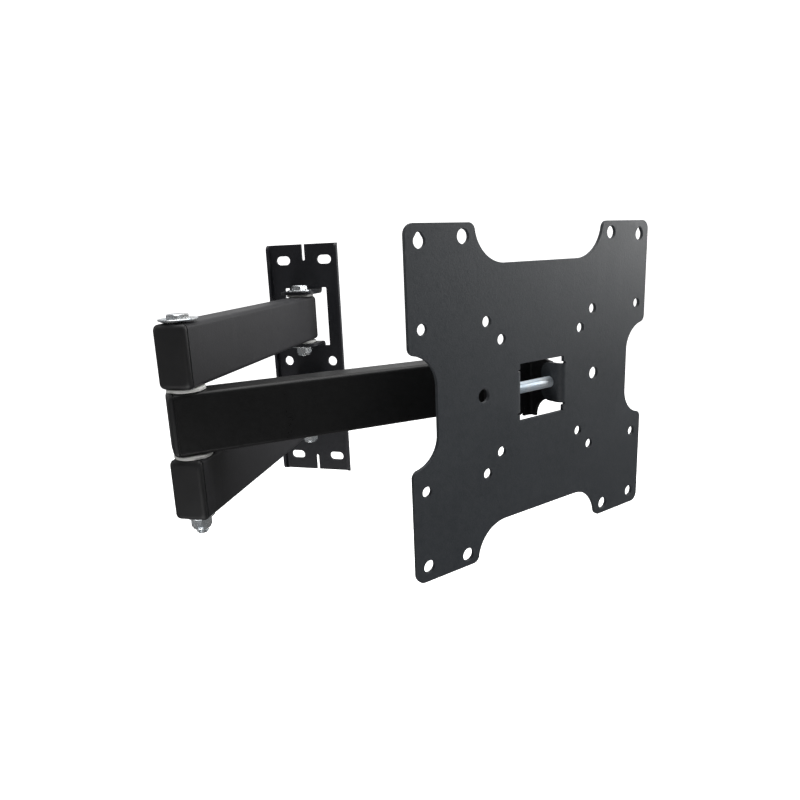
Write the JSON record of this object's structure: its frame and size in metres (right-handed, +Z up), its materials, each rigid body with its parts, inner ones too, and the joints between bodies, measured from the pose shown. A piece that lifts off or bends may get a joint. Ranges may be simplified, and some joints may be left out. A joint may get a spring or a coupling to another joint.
{
  "type": "full motion tv wall mount",
  "caption": "Articulated wall arm for a flat screen: slotted wall plate, stacked pair of tube arms, single forearm, swivel head and tilting square plate with standard hole patterns.",
  "frame": {"origin": "centre of the wall plate's back face, on the wall", "axes": "+X to the right as seen from the room, +Y into the wall, +Z up"},
  "size_m": [0.3297, 0.2361, 0.224],
  "materials": {
    "wall_plate_coat": "satin black powder coat",
    "arm_coat": "satin black powder coat",
    "forearm_coat": "satin black powder coat",
    "bracket_coat": "satin black powder coat",
    "tv_plate_coat": "fine textured charcoal powder coat",
    "cap_plastic": "semi-matte moulded black",
    "pad_plastic": "natural white nylon",
    "sleeve_steel": "plain turned steel",
    "zinc": "bright zinc plate"
  },
  "bodies": {
    "wall": {"wall_plate": "wall_plate_coat", "wall_bolts": "zinc", "wall_nuts": "zinc", "wall_washers": "zinc", "wall_pads": "pad_plastic"},
    "arms": {"upper_arm": "arm_coat", "lower_arm": "arm_coat", "arm_elbow_caps": "cap_plastic", "arm_wall_caps": "cap_plastic", "arm_sleeves": "sleeve_steel", "elbow_bolt": "zinc", "elbow_nut": "zinc", "elbow_dish_washer": "zinc", "elbow_flat_washer": "zinc", "elbow_pads": "pad_plastic"},
    "fore": {"forearm": "forearm_coat", "forearm_elbow_cap": "cap_plastic", "forearm_head_cap": "cap_plastic", "forearm_sleeves": "sleeve_steel"},
    "head": {"swivel_bracket": "bracket_coat", "swivel_bolt": "zinc", "swivel_nut": "zinc", "swivel_washers": "zinc", "swivel_pads": "pad_plastic", "tilt_bolt": "zinc", "tilt_nut": "zinc", "tilt_washers": "zinc", "tilt_pads": "pad_plastic"},
    "tv": {"tv_plate": "tv_plate_coat"}
  },
  "joints": [
    {"name": "wall_swing", "type": "hinge", "parent": "wall", "child": "arms", "pos_m": [0, -0.016, 0], "axis": [0, 0, 1], "range_deg": [-80, 75]},
    {"name": "elbow_fold", "type": "hinge", "parent": "arms", "child": "fore", "pos_m": [0.00894, -0.22081, 0], "axis": [0, 0, -1], "range_deg": [-9, 96]},
    {"name": "head_swivel", "type": "hinge", "parent": "fore", "child": "head", "pos_m": [0.1772, -0.08696, 0], "axis": [0, 0, -1], "range_deg": [-139, 10]},
    {"name": "plate_tilt", "type": "hinge", "parent": "head", "child": "tv", "pos_m": [0.21418, -0.11911, 0.004], "axis": [-0.6561, -0.7547, 0], "range_deg": [-15, 15]}
  ]
}
